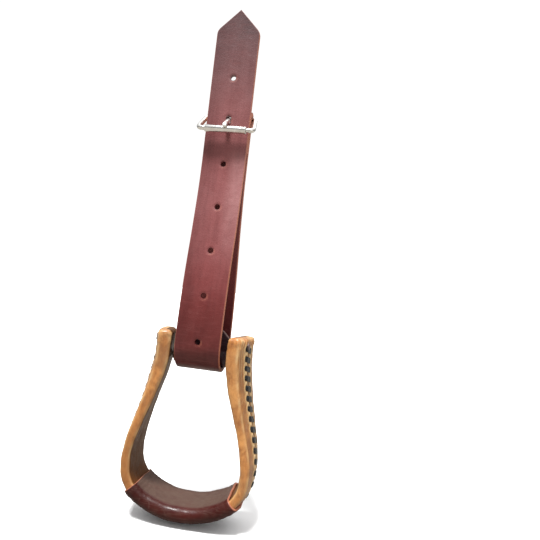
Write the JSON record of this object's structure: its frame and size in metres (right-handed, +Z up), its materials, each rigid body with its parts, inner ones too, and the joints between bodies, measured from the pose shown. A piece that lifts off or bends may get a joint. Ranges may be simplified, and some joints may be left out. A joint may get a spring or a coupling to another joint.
{
  "type": "western stirrup with buckled strap",
  "caption": "Bell-shaped Western stirrup of rawhide-covered bent wood with laced legs and a leather tread, hung by a leather-covered bolt in the loop of its buckled leather strap.",
  "frame": {"origin": "centre of the tread's upper face", "axes": "+X along the bolt towards its head, -Y out of the front of the strap, where the buckle stands, +Z up the strap"},
  "size_m": [0.1538, 0.059, 0.5863],
  "materials": {
    "strap_leather": "oiled burgundy harness leather, glossy",
    "cover_leather": "dark burgundy leather, glossy",
    "tread_leather": "burgundy-brown leather, satin",
    "rawhide": "varnished amber rawhide",
    "wood": "plain bent hardwood",
    "lace_leather": "black latigo lace, satin",
    "nickel": "bright nickel plate",
    "steel": "plain zinc-plated steel",
    "copper": "bright copper"
  },
  "bodies": {
    "strap": {"strap": "strap_leather", "strap_rivet_left": "copper", "strap_rivet_right": "copper", "strap_rivet_burr_left": "copper", "strap_rivet_burr_right": "copper"},
    "buckle_frame": {"buckle_frame": "nickel"},
    "buckle_roller": {"buckle_roller": "nickel"},
    "buckle_tongue": {"buckle_tongue": "steel"},
    "bolt_cover": {"bolt_cover": "cover_leather", "cover_rivet": "nickel", "cover_rivet_burr": "nickel"},
    "stirrup": {"wood_frame": "wood", "rawhide_cover": "rawhide", "left_lace": "lace_leather", "right_lace": "lace_leather", "tread_leather": "tread_leather", "tread_lace": "lace_leather", "stirrup_bolt": "steel", "bolt_nut": "steel", "bolt_washer_left": "steel", "bolt_washer_right": "steel"},
    "bolt_sleeve": {"bolt_sleeve": "steel"}
  },
  "joints": [
    {"name": "stirrup_swing", "type": "hinge", "parent": "strap", "child": "stirrup", "pos_m": [0, 0, 0.16], "axis": [1, 0, 0], "range_deg": [-115, 115]},
    {"name": "cover_rock", "type": "hinge", "parent": "strap", "child": "bolt_cover", "pos_m": [0, 0, 0.16], "axis": [1, 0, 0], "range_deg": [-15, 15]},
    {"name": "sleeve_spin", "type": "hinge", "parent": "stirrup", "child": "bolt_sleeve", "pos_m": [0, 0, 0.16], "axis": [1, 0, 0], "continuous": true},
    {"name": "buckle_hinge", "type": "hinge", "parent": "strap", "child": "buckle_frame", "pos_m": [0, 0.00515, 0.441], "axis": [1, 0, 0], "range_deg": [0, 11]},
    {"name": "roller_spin", "type": "hinge", "parent": "buckle_frame", "child": "buckle_roller", "pos_m": [0, -0.01734, 0.41966], "axis": [1, 0, 0], "continuous": true},
    {"name": "tongue_hinge", "type": "hinge", "parent": "strap", "child": "buckle_tongue", "pos_m": [0, 0.00515, 0.441], "axis": [-1, 0, 0], "range_deg": [0, 5]}
  ]
}
